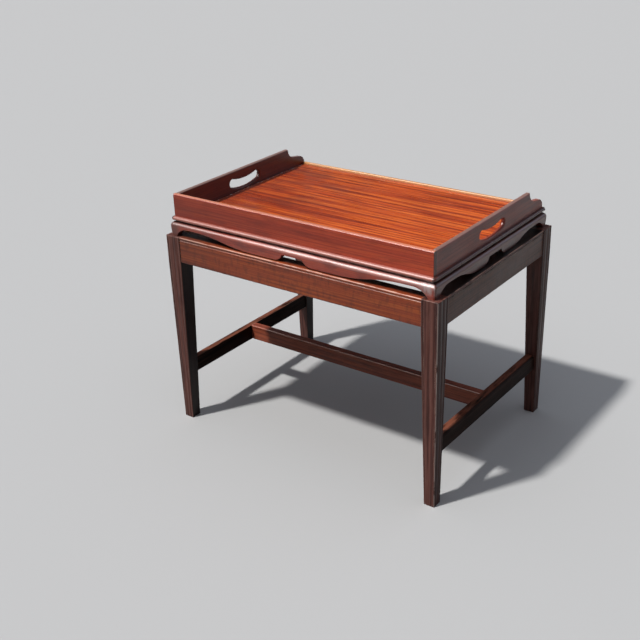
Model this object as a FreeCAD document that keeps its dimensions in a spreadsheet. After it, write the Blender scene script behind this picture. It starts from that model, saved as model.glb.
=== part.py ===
import FreeCAD, Part
import math
import os
import re
import Sketcher

# Butlers tray table: a loose tray with a three-sided gallery, on a four-legged stand.
# Millimetres. The origin is on the ground under the middle of the stand.
# +X runs along the front, +Y to the back, +Z up.

# Driving sizes, each written once
sizes = {
    # Stand
    "stand_long": 686,
    "stand_wide": 485,
    "stand_high": 455,
    "leg_thick": 38,
    "foot_thick": 24.3,
    "foot_inset": 3.5,
    "leg_bead": 3,
    "reed_deep": 1.2,
    # Rails of the stand, their tenons and the line scratched below their top edge
    "rail_high": 59,
    "rail_thick": 31,
    "rail_setback": 2,
    "rail_round": 2.5,
    "line_drop": 5,
    "line_wide": 2.4,
    "line_deep": 1.2,
    "tenon_thick": 8,
    "tenon_long": 13,
    "tenon_shoulder": 9,
    "mortise_spare": 0.8,
    # Stretchers
    "stretcher_top": 149,
    "stretcher_high": 36,
    "stretcher_thick": 19,
    "stretcher_inset": 9,
    "stretcher_round": 6,
    "stretcher_quirk": 1,
    "stretcher_tenon_thick": 7,
    "stretcher_tenon_long": 12,
    "stretcher_shoulder": 7,
    "center_tenon_long": 10,
    # Gallery of the tray, set in from the outside of the stand that carries it
    "gallery_inset_long": 19,
    "gallery_inset_wide": 14.5,
    "gallery_high": 50,
    "board_thick": 10,
    "board_round": 3,
    "tongue_thick": 5,
    "tongue_long": 5,
    "tongue_stop": 9,
    "scroll_long": 64,
    "scroll_foot": 1.5,
    "cove_round": 24,
    "nose_round": 21,
    "hole_long": 104,
    "hole_high": 19,
    "hole_sag": 6,
    "hole_lift": 22,
    "hole_round": 4,
    # Floor of the tray and the lip along its open back
    "floor_thick": 7.5,
    "floor_overhang": 6.5,
    "lip_high": 5,
    "lip_thick": 7,
    "lip_round": 2,
    # Waist strips below the floor
    "waist_high": 5,
    "waist_deep": 20,
    "waist_setback": 2,
    "waist_hollow": 1.2,
    # Aprons and their bracket feet
    "apron_high": 30.5,
    "apron_thick": 18,
    "apron_overhang": 9,
    "shoulder_round": 8,
    "foot_lean": 1.5,
    "foot_wide": 17,
    "arch_high": 19,
    "arch_end": 48,
    "drop_gap": 2,
    "notch_wide": 50,
    "notch_high": 17,
    "lobe_run": 22,
    "block_side": 20,
    "block_lift": 7,
    # Battens under the floor, screws and dowels
    "batten_wide": 32,
    "batten_thick": 14,
    "batten_chamfer": 3,
    "batten_place": 165,
    "screw_thick": 4,
    "screw_head": 8,
    "screw_head_high": 2.4,
    "screw_bite": 5,
    "dowel_thick": 6,
    "dowel_in_floor": 5,
    "dowel_in_board": 14,
    "hole_gap": 0.1,
    "overrun": 5,
}

# Where the rising curve of an apron starts and ends, in shares of half the apron's length
long_curve_shares = (0.316, 0.79)
short_curve_shares = (0.28, 0.68)
# Where dowels and screws stand, in shares of the length of the board that they hold
front_dowel_shares = (-0.4, -0.2, 0, 0.2, 0.4)
end_dowel_shares = (-0.36, -0.17, 0.17, 0.32)
screw_shares = (-0.4, 0, 0.4)
# The rounds on the floor's upper edge, lower edge and corners, in shares of its thickness
floor_top_share = 0.66
floor_foot_share = 0.26
floor_corner_share = 0.9

# Sizes that follow from these, each with its rule
derived = {
    "gallery_long": "(stand_long - 2 * gallery_inset_long)",
    "gallery_wide": "(stand_wide - 2 * gallery_inset_wide)",
    "rail_foot": "(stand_high - rail_high)",
    "stretcher_foot": "(stretcher_top - stretcher_high)",
    "waist_foot": "(stand_high + apron_high)",
    "floor_foot": "(stand_high + apron_high + waist_high)",
    "floor_top": "(stand_high + apron_high + waist_high + floor_thick)",
}
UP = FreeCAD.Vector(0, 0, 1)

doc = FreeCAD.newDocument("butlers_tray_table")
sheet = doc.addObject("Spreadsheet::Sheet", "Sizes")
for row, (alias, value) in enumerate(sizes.items(), start=1):
    sheet.set(f"A{row}", alias)
    sheet.set(f"B{row}", str(value))
    sheet.setAlias(f"B{row}", alias)
doc.recompute()
pieces = {}


# Helpers for sizes written as text

def spell_out(text):
    """A size written as text, with the rule of each derived size in place of its name."""
    return re.sub(r"[a-z_]+", lambda word: derived.get(word[0], word[0]), text)


def number(text):
    """What a size written as text comes to."""
    return float(sheet.evalExpression(spell_out(text)))


def formula(text):
    """The same text with every size read from its cell."""
    rule = spell_out(text)
    return re.sub(r"[a-z_]+", lambda word: f"Sizes.{word[0]}" if word[0] in sizes else word[0], rule)


def bind(thing, name, text):
    """Tie a property to the cells."""
    thing.setExpression(name, formula(text))


def bow(chord, rise):
    """Radius of an arc with this chord and this rise."""
    return f"((({chord}) * ({chord}) / 4 + ({rise}) * ({rise})) / (2 * ({rise})))"


def leg_inner(up):
    """How far the inner face of a leg lies from the outside of the stand at this height."""
    foot = "(foot_inset + foot_thick)"
    return f"({foot} + (leg_thick - {foot}) * ({up}) / rail_foot)"


# Helpers for bodies, sketches and features

def new_body(label):
    body = doc.addObject("PartDesign::Body", label)
    body.Label = label
    pieces[label] = body
    return body


def place(piece, across, along, up, turn=0):
    """Turn a piece about Z by so many degrees and move it to its place."""
    piece.Placement = FreeCAD.Placement(FreeCAD.Vector(), FreeCAD.Rotation(UP, turn))
    bind(piece, "Placement.Base.x", across)
    bind(piece, "Placement.Base.y", along)
    bind(piece, "Placement.Base.z", up)


def new_sketch(body, plane, lift="0"):
    """A sketch on one of the body's own planes, lifted along the plane's normal."""
    sketch = body.newObject("Sketcher::SketchObject", f"{body.Name}_sketch")
    origin_planes = {feature.Role: feature for feature in body.Origin.OriginFeatures}
    sketch.AttachmentSupport = (origin_planes[plane], [""])
    sketch.MapMode = "FlatFace"
    bind(sketch, "AttachmentOffset.Base.z", lift)
    return sketch


def hold(sketch, kind, text, *where):
    """Add one dimension to a sketch and tie it to the cells."""
    index = sketch.addConstraint(Sketcher.Constraint(kind, *where, number(text)))
    bind(sketch, f"Constraints[{index}]", text)


def arc(start, finish, radius, turn):
    """The shorter arc between two points, counter-clockwise where turn is +1."""
    chord = finish - start
    rise = math.sqrt(radius ** 2 - chord.Length ** 2 / 4)
    centre = (start + finish) / 2 + FreeCAD.Vector(-chord.y, chord.x, 0) * (turn * rise / chord.Length)
    first, last = (start, finish) if turn > 0 else (finish, start)
    angles = [math.atan2(point.y - centre.y, point.x - centre.x) for point in (first, last)]
    return Part.ArcOfCircle(Part.Circle(centre, UP, radius), *angles)


def outline(sketch, points):
    """Draw one closed loop. A point is (across, up), or (across, up, radius, turn) where an arc
    leads from it to the next point."""
    spots = [FreeCAD.Vector(number(point[0]), number(point[1]), 0) for point in points]
    ends = []
    for index, point in enumerate(points):
        start = spots[index]
        finish = spots[(index + 1) % len(spots)]
        if len(point) == 2:
            curve = sketch.addGeometry(Part.LineSegment(start, finish))
            ends.append((curve, 1, 2))
            continue
        radius, turn = point[2:]
        curve = sketch.addGeometry(arc(start, finish, number(radius), turn))
        ends.append((curve, 1, 2) if turn > 0 else (curve, 2, 1))
    for index, point in enumerate(points):
        curve, first, last = ends[index]
        next_curve, next_first, _ = ends[(index + 1) % len(ends)]
        sketch.addConstraint(Sketcher.Constraint("Coincident", curve, last, next_curve, next_first))
        hold(sketch, "DistanceX", point[0], -1, 1, curve, first)
        hold(sketch, "DistanceY", point[1], -1, 1, curve, first)
        if len(point) > 2:
            hold(sketch, "Radius", point[2], curve)


def rectangle(sketch, left, bottom, right, top):
    outline(sketch, [(left, bottom), (right, bottom), (right, top), (left, top)])


def rounds(sketch, centres, radius):
    """Draw a circle of this radius at each centre."""
    for across, up in centres:
        spot = FreeCAD.Vector(number(across), number(up), 0)
        curve = sketch.addGeometry(Part.Circle(spot, UP, number(radius)))
        hold(sketch, "DistanceX", across, -1, 1, curve, 3)
        hold(sketch, "DistanceY", up, -1, 1, curve, 3)
        hold(sketch, "Radius", radius, curve)


def pad(body, sketch, length, side="Symmetric", back=False):
    """Add the sketch's area, drawn out to this length."""
    feature = body.newObject("PartDesign::Pad", f"{body.Name}_pad")
    feature.Profile = sketch
    feature.SideType = side
    feature.Reversed = back
    bind(feature, "Length", length)
    doc.recompute()
    return feature


def cut(body, sketch, depth=None, back=False):
    """Take the sketch's area away, to a depth or right through, and make sure that it cuts."""
    before = body.Shape.Volume
    feature = body.newObject("PartDesign::Pocket", f"{body.Name}_pocket")
    feature.Profile = sketch
    feature.Reversed = back
    if depth is None:
        feature.Type = "ThroughAll"
        feature.SideType = "Symmetric"
    else:
        bind(feature, "Length", depth)
    doc.recompute()
    if body.Shape.Volume >= before:
        raise ValueError(f"a pocket in {body.Label} cuts nothing")
    return feature


def soften(body, feature, radius, wanted):
    """Round the edges of a feature that pass a test."""
    edges = [f"Edge{index}" for index, edge in enumerate(feature.Shape.Edges, start=1) if wanted(edge)]
    fillet = body.newObject("PartDesign::Fillet", f"{body.Name}_fillet")
    fillet.Base = (feature, edges)
    bind(fillet, "Radius", radius)
    doc.recompute()
    return fillet


def lies_at(edge, axis, text):
    """Whether a whole edge lies at one place along x, y or z."""
    spot = number(text)
    low, high = getattr(edge.BoundBox, f"{axis}Min"), getattr(edge.BoundBox, f"{axis}Max")
    return math.isclose(low, spot, abs_tol=1e-4) and math.isclose(high, spot, abs_tol=1e-4)


def mitre(body, long, deep):
    """Cut both ends of a strip at 45 degrees, from its full length at the outer face."""
    sketch = new_sketch(body, "XY_Plane")
    for side in ("", "-"):
        outline(sketch, [
            (f"{side}(({long}) / 2 + overrun)", "-overrun"),
            (f"{side}(({long}) / 2 + overrun)", f"{deep} + overrun"),
            (f"{side}(({long}) / 2 - {deep} - overrun)", f"{deep} + overrun"),
        ])
    cut(body, sketch)


# Stand

def leg_section(body, lift, side, inset):
    """Section of a leg: two reeded outer faces that meet in a corner bead, and two plain faces."""
    scale = f"({side}) / leg_thick"
    deep = f"{inset} + reed_deep * {scale}"
    far = f"{inset} + {side}"
    middle = f"{inset} + ({side}) / 2"
    bead_wide = f"(leg_bead + sqrt(2 * leg_bead * reed_deep - reed_deep * reed_deep)) * {scale}"
    near_quirk = f"{inset} + {bead_wide}"
    far_quirk = f"{far} - {bead_wide}"
    corner = f"{inset} + leg_bead * (1 - sqrt(0.5)) * {scale}"
    bead = f"leg_bead * {scale}"
    reed = bow(f"({side}) / 2 - {bead_wide}", f"reed_deep * {scale}")
    edge_bead = bow(bead_wide, f"reed_deep * {scale}")
    sketch = new_sketch(body, "XY_Plane", lift)
    outline(sketch, [
        (near_quirk, deep, reed, 1), (middle, deep, reed, 1), (far_quirk, deep, edge_bead, 1),
        (far, deep), (far, far), (deep, far, edge_bead, 1),
        (deep, far_quirk, reed, 1), (deep, middle, reed, 1),
        (deep, near_quirk, bead, 1), (corner, corner, bead, 1),
    ])
    return sketch


def leg(label, across, along, turn, stretcher_face):
    """A leg, square where the rails enter and tapering below them to the foot."""
    body = new_body(label)
    loft = body.newObject("PartDesign::AdditiveLoft", f"{label}_loft")
    loft.Profile = leg_section(body, "stand_high", "leg_thick", "0")
    loft.Sections = [
        leg_section(body, "rail_foot", "leg_thick", "0"),
        leg_section(body, "0", "foot_thick", "foot_inset"),
    ]
    loft.Ruled = True
    doc.recompute()
    tenon_start = "rail_setback + (rail_thick - tenon_thick) / 2"
    rail_slot = (tenon_start, "rail_foot + tenon_shoulder", f"{tenon_start} + tenon_thick",
                 "stand_high - tenon_shoulder", "tenon_long + mortise_spare")
    bar_start = "stretcher_inset + (stretcher_thick - stretcher_tenon_thick) / 2"
    bar_slot = (bar_start, "stretcher_foot + stretcher_shoulder", f"{bar_start} + stretcher_tenon_thick",
                "stretcher_top - stretcher_shoulder",
                f"leg_thick - {leg_inner('stretcher_foot')} + stretcher_tenon_long + mortise_spare")
    for plane, lift, back in (("YZ_Plane", "leg_thick", False), ("XZ_Plane", "-leg_thick", True)):
        slots = [rail_slot] if plane != stretcher_face else [rail_slot, bar_slot]
        for left, bottom, right, top, depth in slots:
            sketch = new_sketch(body, plane, lift)
            rectangle(sketch, left, bottom, right, top)
            cut(body, sketch, depth, back)
    place(body, across, along, "0", turn)


def rail(label, long, across, along, turn):
    """A rail with a rounded top edge, a scratched line below it and a tenon at each end."""
    body = new_body(label)
    between = f"{long} - 2 * leg_thick"
    line = "rail_high - line_drop"
    groove = bow("line_wide", "line_deep")
    section = new_sketch(body, "YZ_Plane")
    outline(section, [
        ("rail_round", "0"), ("rail_thick", "0"), ("rail_thick", "rail_high"),
        ("rail_round", "rail_high", "rail_round", 1), ("0", "rail_high - rail_round"),
        ("0", line, groove, -1), ("0", f"{line} - line_wide"),
        ("0", "rail_round", "rail_round", 1),
    ])
    pad(body, section, between)
    tenon = new_sketch(body, "YZ_Plane")
    cheek = "(rail_thick - tenon_thick) / 2"
    rectangle(tenon, cheek, "tenon_shoulder", f"{cheek} + tenon_thick", "rail_high - tenon_shoulder")
    pad(body, tenon, f"{between} + 2 * tenon_long")
    place(body, across, along, "rail_foot", turn)


def end_stretcher(label, across, turn):
    """A stretcher between two legs: its ends follow the taper, its outer top edge is rounded."""
    body = new_body(label)
    longest = f"stand_wide - 2 * {leg_inner('stretcher_foot')}"
    round_top = "stretcher_high - stretcher_quirk"
    section = new_sketch(body, "YZ_Plane")
    outline(section, [
        ("0", "0"), ("stretcher_thick", "0"), ("stretcher_thick", "stretcher_high"),
        ("stretcher_round", "stretcher_high"), ("stretcher_round", round_top, "stretcher_round", 1),
        ("0", f"{round_top} - stretcher_round"),
    ])
    pad(body, section, longest)
    ends = new_sketch(body, "XZ_Plane")
    low, high = "-overrun", "stretcher_high + overrun"
    for side in ("", "-"):
        far = f"{side}(stand_wide / 2)"
        outline(ends, [
            (f"{side}(stand_wide / 2 - {leg_inner(f'stretcher_foot + {low}')})", low), (far, low),
            (far, high), (f"{side}(stand_wide / 2 - {leg_inner(f'stretcher_foot + {high}')})", high),
        ])
    cut(body, ends)
    tenon = new_sketch(body, "YZ_Plane")
    cheek = "(stretcher_thick - stretcher_tenon_thick) / 2"
    shoulders = ("stretcher_shoulder", "stretcher_high - stretcher_shoulder")
    rectangle(tenon, cheek, shoulders[0], f"{cheek} + stretcher_tenon_thick", shoulders[1])
    pad(body, tenon, f"{longest} + 2 * stretcher_tenon_long")
    slot = new_sketch(body, "XZ_Plane", "-stretcher_thick")
    half = "stretcher_tenon_thick / 2"
    rectangle(slot, f"-{half}", shoulders[0], half, shoulders[1])
    cut(body, slot, "center_tenon_long + mortise_spare", back=True)
    place(body, across, "0", "stretcher_foot", turn)


def center_stretcher(label):
    """The bar of the H, between the middles of the end stretchers."""
    body = new_body(label)
    between = "stand_long - 2 * (stretcher_inset + stretcher_thick)"
    half = "stretcher_thick / 2"
    edge = "stretcher_high - rail_round"
    section = new_sketch(body, "YZ_Plane")
    outline(section, [
        (f"-{half}", "0"), (half, "0"),
        (half, edge, "rail_round", 1), (f"{half} - rail_round", "stretcher_high"),
        (f"rail_round - {half}", "stretcher_high", "rail_round", 1), (f"-{half}", edge),
    ])
    pad(body, section, between)
    tenon = new_sketch(body, "YZ_Plane")
    rectangle(tenon, "-stretcher_tenon_thick / 2", "stretcher_shoulder", "stretcher_tenon_thick / 2",
              "stretcher_high - stretcher_shoulder")
    pad(body, tenon, f"{between} + 2 * center_tenon_long")
    place(body, "0", "0", "stretcher_foot")


# Tray

def dowel_places():
    """Where the dowels stand, on the middle lines of the three gallery boards."""
    front = "-gallery_wide / 2 + board_thick / 2"
    side = "(gallery_long / 2 - board_thick / 2)"
    spots = [(f"{share} * gallery_long", front) for share in front_dowel_shares]
    for sign in ("", "-"):
        spots += [(f"{sign}{side}", f"{share} * gallery_wide") for share in end_dowel_shares]
    return spots


def screw_places():
    """Where the screws stand, along the middle lines of the two battens."""
    return [(f"{sign}batten_place", f"{share} * gallery_wide")
            for sign in ("", "-") for share in screw_shares]


def tray_floor(label):
    """The bottom board, whose rounded edge shows below the gallery as a bead."""
    body = new_body(label)
    half_long = "(gallery_long / 2 + floor_overhang)"
    half_wide = "(gallery_wide / 2 + floor_overhang)"
    corner = f"({floor_corner_share} * floor_thick)"
    sheet_sketch = new_sketch(body, "XY_Plane")
    outline(sheet_sketch, [
        (f"{corner} - {half_long}", f"-{half_wide}"), (f"{half_long} - {corner}", f"-{half_wide}", corner, 1),
        (half_long, f"{corner} - {half_wide}"), (half_long, f"{half_wide} - {corner}", corner, 1),
        (f"{half_long} - {corner}", half_wide), (f"{corner} - {half_long}", half_wide, corner, 1),
        (f"-{half_long}", f"{half_wide} - {corner}"), (f"-{half_long}", f"{corner} - {half_wide}", corner, 1),
    ])
    board = pad(body, sheet_sketch, "floor_thick", "One side")
    thumb = soften(body, board, f"{floor_top_share} * floor_thick",
                   lambda edge: lies_at(edge, "Z", "floor_thick"))
    soften(body, thumb, f"{floor_foot_share} * floor_thick", lambda edge: lies_at(edge, "Z", "0"))
    dowel_holes = new_sketch(body, "XY_Plane", "floor_thick")
    rounds(dowel_holes, dowel_places(), "dowel_thick / 2 + hole_gap")
    cut(body, dowel_holes, "dowel_in_floor + hole_gap")
    screw_holes = new_sketch(body, "XY_Plane")
    rounds(screw_holes, screw_places(), "screw_thick / 2 + hole_gap")
    cut(body, screw_holes, "screw_bite + hole_gap", back=True)
    place(body, "0", "0", "floor_foot")


def dowel_sockets(body, centres):
    """Blind holes for dowels in the underside of a gallery board."""
    sockets = new_sketch(body, "XY_Plane")
    rounds(sockets, centres, "dowel_thick / 2 + hole_gap")
    cut(body, sockets, "dowel_in_board + hole_gap", back=True)


def gallery_front(label):
    """The front board, full length, with a rounded top and a groove for each end board's tongue."""
    body = new_body(label)
    section = new_sketch(body, "YZ_Plane")
    outline(section, [
        ("0", "0"), ("board_thick", "0"), ("board_thick", "gallery_high - board_round", "board_round", 1),
        ("board_thick - board_round", "gallery_high"), ("board_round", "gallery_high", "board_round", 1),
        ("0", "gallery_high - board_round"),
    ])
    pad(body, section, "gallery_long")
    grooves = new_sketch(body, "XZ_Plane", "-board_thick")
    near = "gallery_long / 2 - (board_thick + tongue_thick) / 2"
    far = "gallery_long / 2 - (board_thick - tongue_thick) / 2"
    for side in ("", "-"):
        rectangle(grooves, f"{side}({near})", "-overrun", f"{side}({far})", "gallery_high - tongue_stop")
    cut(body, grooves, "tongue_long", back=True)
    dowel_sockets(body, [(f"{share} * gallery_long", "board_thick / 2") for share in front_dowel_shares])
    place(body, "0", "-gallery_wide / 2", "floor_top")


def hand_hole(sketch):
    """A hand hole that sags in the middle like a smile, with round ends."""
    half = "(hole_high / 2)"
    reach = f"(hole_long / 2 - {half})"
    sweep = bow(f"2 * {reach}", "hole_sag")
    lean = f"({reach} / {sweep})"
    level = f"(({sweep} - hole_sag) / {sweep})"
    low, high = f"hole_lift - {half} * {level}", f"hole_lift + {half} * {level}"
    outer, inner = f"{reach} + {half} * {lean}", f"{reach} - {half} * {lean}"
    tip, tip_up = f"{reach} + {half} * {level}", f"hole_lift + {half} * {lean}"
    outline(sketch, [
        (f"-({outer})", low, f"{sweep} + {half}", 1),
        (outer, low, half, 1), (tip, tip_up, half, 1),
        (inner, high, f"{sweep} - {half}", -1),
        (f"-({inner})", high, half, 1), (f"-({tip})", tip_up, half, 1),
    ])


def gallery_end(label, across, turn, sign):
    """An end board with a hand hole, a tongue at the front and a scroll at the back. sign says
    which way along the board the back lies."""
    body = new_body(label)
    front = "(board_thick - gallery_wide / 2)"
    rear = "(gallery_wide / 2)"
    bend = 1 if sign == "" else -1
    elevation = new_sketch(body, "XZ_Plane")
    outline(elevation, [
        (f"{sign}{front}", "0"), (f"{sign}{rear}", "0"),
        (f"{sign}{rear}", "scroll_foot", "nose_round", bend),
        (f"{sign}({rear} - nose_round)", "scroll_foot + nose_round"),
        (f"{sign}({rear} - scroll_long + cove_round)", "gallery_high - cove_round", "cove_round", -bend),
        (f"{sign}({rear} - scroll_long)", "gallery_high"), (f"{sign}{front}", "gallery_high"),
    ])
    board = pad(body, elevation, "board_thick", "One side", back=True)
    faces = ("0", "board_thick")
    top = soften(body, board, "board_round", lambda edge: lies_at(edge, "Z", "gallery_high")
                 and any(lies_at(edge, "Y", face) for face in faces))
    hole = new_sketch(body, "XZ_Plane")
    hand_hole(hole)
    opening = cut(body, hole)
    reach = number("hole_long / 2 + hole_round")
    soften(body, opening, "hole_round", lambda edge: any(lies_at(edge, "Y", face) for face in faces)
           and edge.BoundBox.XMin > -reach and edge.BoundBox.XMax < reach)
    tongue = new_sketch(body, "XZ_Plane", "-board_thick / 2")
    rectangle(tongue, f"{sign}({front} - tongue_long)", "0", f"{sign}{front}", "gallery_high - tongue_stop")
    pad(body, tongue, "tongue_thick")
    dowel_sockets(body, [(f"{bend * share} * gallery_wide", "board_thick / 2") for share in end_dowel_shares])
    place(body, across, "0", "floor_top", turn)


def back_lip(label):
    """The low strip that closes the back of the floor between the end boards."""
    body = new_body(label)
    section = new_sketch(body, "YZ_Plane")
    outline(section, [
        ("-lip_thick", "0"), ("0", "0"), ("0", "lip_high - lip_round", "lip_round", 1),
        ("-lip_round", "lip_high"), ("lip_round - lip_thick", "lip_high", "lip_round", 1),
        ("-lip_thick", "lip_high - lip_round"),
    ])
    pad(body, section, "gallery_long - 2 * board_thick")
    place(body, "0", "gallery_wide / 2", "floor_top")


def waist(label, long, across, along, turn):
    """A recessed strip with a hollow face, mitred at both ends."""
    body = new_body(label)
    section = new_sketch(body, "YZ_Plane")
    outline(section, [
        ("0", "0"), ("waist_deep", "0"), ("waist_deep", "waist_high"),
        ("0", "waist_high", bow("waist_high", "waist_hollow"), -1),
    ])
    pad(body, section, long)
    mitre(body, long, "waist_deep")
    place(body, across, along, "waist_foot", turn)


def apron_outline(sketch, long, curve_shares):
    """The space under an apron: a notch in the middle, a drop and an arch on each side of it, and
    a foot at each end."""
    half = f"(({long}) / 2)"
    start, end = [f"{share} * {half}" for share in curve_shares]
    drop = "(notch_high - drop_gap)"
    lobe = f"((lobe_run * lobe_run + {drop} * {drop}) / (2 * {drop}))"
    rise = "(arch_high - drop_gap)"
    middle = f"({start} + {end}) / 2"
    middle_up = "(arch_high + drop_gap) / 2"
    curve = f"((({end} - {start}) * ({end} - {start}) + {rise} * {rise}) / (4 * {rise}))"
    foot_run = "(arch_end - foot_wide)"
    foot_curve = f"(({foot_run} * {foot_run} + arch_high * arch_high) / (2 * arch_high))"
    foot = f"({half} - foot_wide)"
    arch = f"({half} - arch_end)"
    bank = "(notch_wide / 2 + lobe_run)"
    outline(sketch, [
        (f"-{foot}", "-overrun"), (foot, "-overrun"), (foot, "0", foot_curve, 1),
        (arch, "arch_high"), (end, "arch_high", curve, 1), (middle, middle_up, curve, -1),
        (start, "drop_gap"), (bank, "drop_gap", lobe, -1), ("notch_wide / 2", "notch_high"),
        ("-notch_wide / 2", "notch_high", lobe, -1), (f"-{bank}", "drop_gap"),
        (f"-({start})", "drop_gap", curve, -1), (f"-({middle})", middle_up, curve, 1),
        (f"-({end})", "arch_high"), (f"-{arch}", "arch_high", foot_curve, 1), (f"-{foot}", "0"),
    ])


def apron(label, long, curve_shares, across, along, turn):
    """A shaped apron: a rounded shoulder, a face that leans in towards its feet, mitred ends."""
    body = new_body(label)
    face_high = "(apron_high - shoulder_round)"
    face = f"(({face_high} * {face_high} + foot_lean * foot_lean) / (2 * foot_lean))"
    section = new_sketch(body, "YZ_Plane")
    outline(section, [
        ("foot_lean", "0"), ("apron_thick", "0"), ("apron_thick", "apron_high"),
        ("shoulder_round", "apron_high", "shoulder_round", 1), ("0", face_high, face, 1),
    ])
    pad(body, section, long)
    mitre(body, long, "apron_thick")
    shape = new_sketch(body, "XZ_Plane")
    apron_outline(shape, long, curve_shares)
    cut(body, shape)
    place(body, across, along, "stand_high", turn)


def foot_block(label, across, along, turn):
    """A three-cornered glue block in the angle behind a foot."""
    body = new_body(label)
    corner = new_sketch(body, "XY_Plane", "block_lift")
    outline(corner, [("0", "0"), ("block_side", "0"), ("0", "block_side")])
    pad(body, corner, "apron_high - block_lift", "One side")
    place(body, across, along, "stand_high", turn)


def batten(label, across):
    """A cross batten under the floor, with holes for its screws."""
    body = new_body(label)
    half = "batten_wide / 2"
    section = new_sketch(body, "YZ_Plane")
    outline(section, [
        (f"batten_chamfer - {half}", "-batten_thick"), (f"{half} - batten_chamfer", "-batten_thick"),
        (half, "batten_chamfer - batten_thick"), (half, "0"), (f"-{half}", "0"),
        (f"-{half}", "batten_chamfer - batten_thick"),
    ])
    pad(body, section, "gallery_wide - 2 * (waist_setback + waist_deep)")
    holes = new_sketch(body, "XY_Plane")
    rounds(holes, [(f"{share} * gallery_wide", "0") for share in screw_shares], "screw_thick / 2 + hole_gap")
    cut(body, holes)
    place(body, across, "0", "floor_foot", 90)


def rod(label, across, along, low, thick, long):
    """One upright cylinder."""
    cylinder = doc.addObject("Part::Cylinder", label)
    bind(cylinder, "Radius", f"({thick}) / 2")
    bind(cylinder, "Height", long)
    place(cylinder, across, along, low)
    return cylinder


def group(label, solids):
    """Identical small pieces kept together as one sub-part."""
    compound = doc.addObject("Part::Compound", label)
    compound.Label = label
    compound.Links = solids
    pieces[label] = compound


def gallery_dowels(label):
    long = "dowel_in_floor + dowel_in_board"
    low = "floor_top - dowel_in_floor"
    group(label, [rod("dowel", across, along, low, "dowel_thick", long) for across, along in dowel_places()])


def batten_screws(label):
    """Round-headed screws, up through the battens into the floor."""
    seat = "(floor_foot - batten_thick)"
    low = f"{seat} - screw_head_high"
    screws = []
    for across, along in screw_places():
        screw = doc.addObject("Part::Fuse", "screw")
        screw.Base = rod("screw_head", across, along, low, "screw_head", "screw_head_high")
        screw.Tool = rod("screw_shank", across, along, seat, "screw_thick", "batten_thick + screw_bite")
        screws.append(screw)
    group(label, screws)


def four_sides(long_offset, wide_offset):
    """Place and turn of a piece whose outer face is set in from each side of the stand or tray."""
    return {
        "front": ("0", f"-({wide_offset})", 0),
        "right": (long_offset, "0", 90),
        "back": ("0", wide_offset, 180),
        "left": (f"-({long_offset})", "0", -90),
    }


def four_corners(long_offset, wide_offset):
    """Place and turn of a piece whose own corner stands in each corner of the stand or tray."""
    return {
        "front_left": (f"-({long_offset})", f"-({wide_offset})", 0),
        "front_right": (long_offset, f"-({wide_offset})", 90),
        "back_right": (long_offset, wide_offset, 180),
        "back_left": (f"-({long_offset})", wide_offset, -90),
    }


def build_stand():
    for corner, (across, along, turn) in four_corners("stand_long / 2", "stand_wide / 2").items():
        stretcher_face = "XZ_Plane" if turn in (0, 180) else "YZ_Plane"
        leg(f"leg_{corner}", across, along, turn, stretcher_face)
    setbacks = ("stand_long / 2 - rail_setback", "stand_wide / 2 - rail_setback")
    for side, (across, along, turn) in four_sides(*setbacks).items():
        rail(f"rail_{side}", "stand_long" if turn in (0, 180) else "stand_wide", across, along, turn)
    end_stretcher("stretcher_left", "stretcher_inset - stand_long / 2", -90)
    end_stretcher("stretcher_right", "stand_long / 2 - stretcher_inset", 90)
    center_stretcher("stretcher_center")


def build_tray():
    tray_floor("tray_floor")
    gallery_front("gallery_front")
    gallery_end("gallery_left", "-gallery_long / 2", -90, "-")
    gallery_end("gallery_right", "gallery_long / 2", 90, "")
    back_lip("back_lip")
    waist_half = ("gallery_long / 2 - waist_setback", "gallery_wide / 2 - waist_setback")
    for side, (across, along, turn) in four_sides(*waist_half).items():
        half = waist_half[0] if turn in (0, 180) else waist_half[1]
        waist(f"waist_{side}", f"2 * ({half})", across, along, turn)
    apron_half = ("gallery_long / 2 + apron_overhang", "gallery_wide / 2 + apron_overhang")
    for side, (across, along, turn) in four_sides(*apron_half).items():
        half = apron_half[0] if turn in (0, 180) else apron_half[1]
        curve_shares = long_curve_shares if turn in (0, 180) else short_curve_shares
        apron(f"apron_{side}", f"2 * ({half})", curve_shares, across, along, turn)
    inside = [f"{half} - apron_thick" for half in apron_half]
    for corner, (across, along, turn) in four_corners(*inside).items():
        foot_block(f"foot_block_{corner}", across, along, turn)
    batten("batten_left", "-batten_place")
    batten("batten_right", "batten_place")
    batten_screws("batten_screws")
    gallery_dowels("gallery_dowels")


build_stand()
build_tray()
doc.recompute()

for thing in doc.Objects:
    if "Invalid" in thing.State or "Error" in thing.State:
        raise ValueError(f"{thing.Label} failed to build")
for label, piece in pieces.items():
    if piece.Shape.isNull() or not piece.Shape.isValid():
        raise ValueError(f"{label} has no valid shape")

os.makedirs("parts", exist_ok=True)
for label, piece in pieces.items():
    piece.Shape.exportStep(f"parts/{label}.step")
    print(f"{label}: {len(piece.Shape.Solids)} solid, {piece.Shape.Volume / 1000:.1f} cm3")
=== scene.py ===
# %% [markdown]
# # A butlers tray table
# The table is two things: a mahogany stand on four tapering legs, and a tray that lifts off it. The tray
# has upright boards on three sides with a hand hole in each end, a floor whose rounded edge shows as a
# bead, and shaped aprons on small bracket feet. Everything is in metres: +X along the front, +Y to the
# back, +Z up.

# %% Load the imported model
import math

import bmesh
import bpy
from mathutils import Matrix, Vector
from mathutils.bvhtree import BVHTree


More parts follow.
